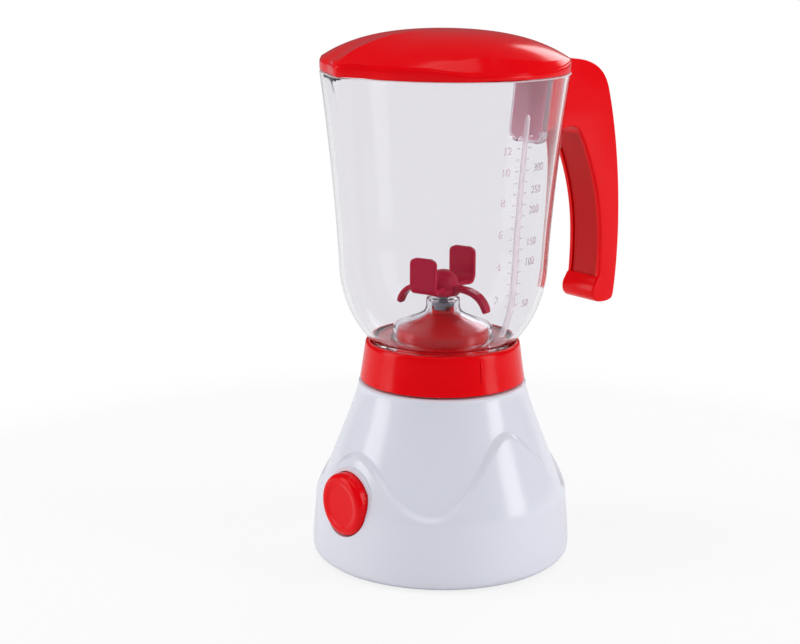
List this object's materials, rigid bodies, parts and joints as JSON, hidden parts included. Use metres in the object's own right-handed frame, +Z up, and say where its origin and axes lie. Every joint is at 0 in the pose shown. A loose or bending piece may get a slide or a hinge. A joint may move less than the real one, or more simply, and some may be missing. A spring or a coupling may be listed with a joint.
{
  "type": "toy blender",
  "caption": "Toy blender with a white base, push button, red collar, clear lift-off jug with a handle, hinged lid and a motor-driven stirrer.",
  "frame": {"origin": "middle of the underside of the base, on the jug's axis", "axes": "+Z up along the jug's axis, -Y towards the button and the spout, +Y towards the handle, +X towards the measuring strip"},
  "size_m": [0.099, 0.1364, 0.2004],
  "materials": {
    "white_plastic": "glossy moulded plastic",
    "red_plastic": "glossy moulded plastic",
    "dark_red_plastic": "satin moulded plastic",
    "crimson_plastic": "glossy moulded plastic",
    "clear_plastic": "clear moulded plastic",
    "grey_plastic": "satin",
    "dark_plastic": "satin",
    "nylon": "satin natural nylon",
    "steel": "plain",
    "brass": "plain",
    "copper": "wound copper wire on a laminated core",
    "cell": "labelled steel can",
    "wire": "insulated wire",
    "ferrite": "sintered ferrite"
  },
  "bodies": {
    "base": {"base_housing": "white_plastic", "base_plate": "white_plastic", "plate_screws": "steel", "battery_door": "white_plastic", "battery_door_screw": "steel", "batteries": "cell", "battery_contacts": "brass", "battery_springs": "steel", "collar": "red_plastic", "collar_screws": "steel", "tower_bush": "grey_plastic", "gearbox_frame": "grey_plastic", "gearbox_cover": "grey_plastic", "gearbox_screws": "steel", "idler_axle": "steel", "motor_can": "steel", "motor_end_cap": "dark_plastic", "motor_magnets": "ferrite", "button_spring": "steel", "switch_block": "grey_plastic", "switch_contacts": "brass", "wires": "wire"},
    "button": {"button_cap": "red_plastic", "switch_bridge": "brass"},
    "jug": {"jug_body": "clear_plastic", "blade_bush": "grey_plastic", "handle_shell": "red_plastic", "handle_cover": "dark_red_plastic"},
    "lid": {"lid": "red_plastic"},
    "blade": {"blade": "crimson_plastic", "blade_shaft": "steel", "jug_dog": "grey_plastic"},
    "drive": {"output_gear": "nylon", "drive_shaft": "steel", "drive_dog": "red_plastic"},
    "idler": {"idler_gear": "nylon"},
    "rotor": {"motor_rotor": "copper", "motor_shaft": "steel", "motor_pinion": "brass"}
  },
  "joints": [
    {"name": "jug_lift", "type": "slide", "parent": "base", "child": "jug", "axis": [0, 0, 1], "range_m": [0, 0.12]},
    {"name": "lid_hinge", "type": "hinge", "parent": "jug", "child": "lid", "pos_m": [0, 0.0495, 0.1874], "axis": [-1, 0, 0], "range_deg": [0, 110]},
    {"name": "button_press", "type": "slide", "parent": "base", "child": "button", "axis": [0, 1, 0], "range_m": [0, 0.002], "stiffness_N_per_m": 300, "springref_m": -0.003, "deforming": ["button_spring"]},
    {"name": "drive_spin", "type": "hinge", "parent": "base", "child": "drive", "pos_m": [0, 0, 0.06], "axis": [0, 0, 1], "continuous": true},
    {"name": "idler_spin", "type": "hinge", "parent": "base", "child": "idler", "pos_m": [0.00657, 0.01804, 0.052], "axis": [0, 0, 1], "continuous": true},
    {"name": "rotor_spin", "type": "hinge", "parent": "base", "child": "rotor", "pos_m": [-0.00537, 0.01401, 0.04], "axis": [0, 0, 1], "continuous": true},
    {"name": "blade_spin", "type": "hinge", "parent": "jug", "child": "blade", "pos_m": [0, 0, 0.1], "axis": [0, 0, 1], "continuous": true}
  ],
  "couplings": [
    {"joint": "idler_spin", "follows": "drive_spin", "ratio": -3},
    {"joint": "rotor_spin", "follows": "drive_spin", "ratio": 9.6},
    {"joint": "blade_spin", "follows": "drive_spin", "ratio": 1}
  ]
}
